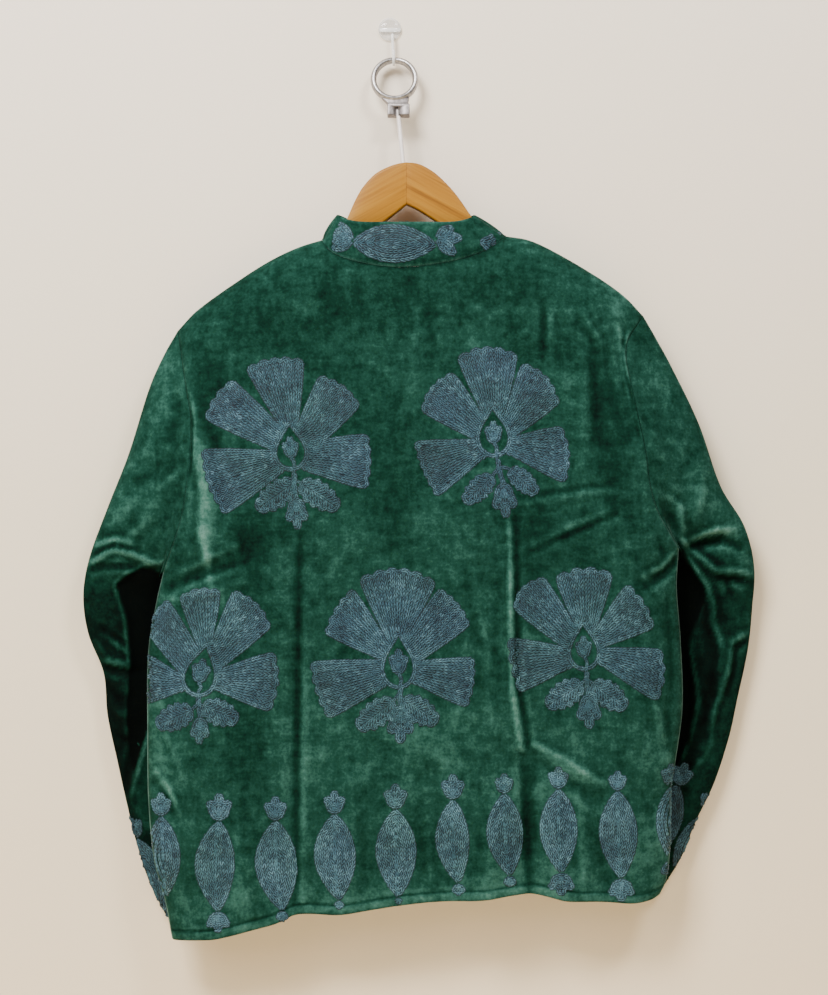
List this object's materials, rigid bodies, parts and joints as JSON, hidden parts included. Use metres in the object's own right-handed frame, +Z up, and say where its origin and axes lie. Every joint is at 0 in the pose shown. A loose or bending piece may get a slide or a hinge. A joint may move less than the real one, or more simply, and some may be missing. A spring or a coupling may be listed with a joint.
{
  "type": "embroidered jacket on hanger",
  "caption": "Long-sleeved velvet jacket with stand collar and chain-stitch flowers on its back, hung on a flat wooden hanger with a ring, from a small wall hook.",
  "frame": {"origin": "centre of the wall pad's back, where it is stuck to the wall", "axes": "+Z up, the jacket hanging along -Z; the wall is the plane y = 0 and the jacket hangs on its -Y side with its back outward; +X is the wearer's right"},
  "size_m": [0.7097, 0.0763, 0.9753],
  "materials": {
    "velvet": "crushed velvet pile",
    "hanger_wood": "satin varnish",
    "steel": "plated",
    "clear_plastic": "clear, glossy"
  },
  "bodies": {
    "root": {"back_panel": "velvet", "front_left": "velvet", "front_right": "velvet", "sleeve_left": "velvet", "sleeve_right": "velvet", "collar": "velvet", "hanger": "hanger_wood", "hanger_stem": "steel", "hanger_ring": "steel", "ring_clamp": "steel", "wall_pad": "clear_plastic", "wall_prong": "clear_plastic"}
  },
  "joints": []
}
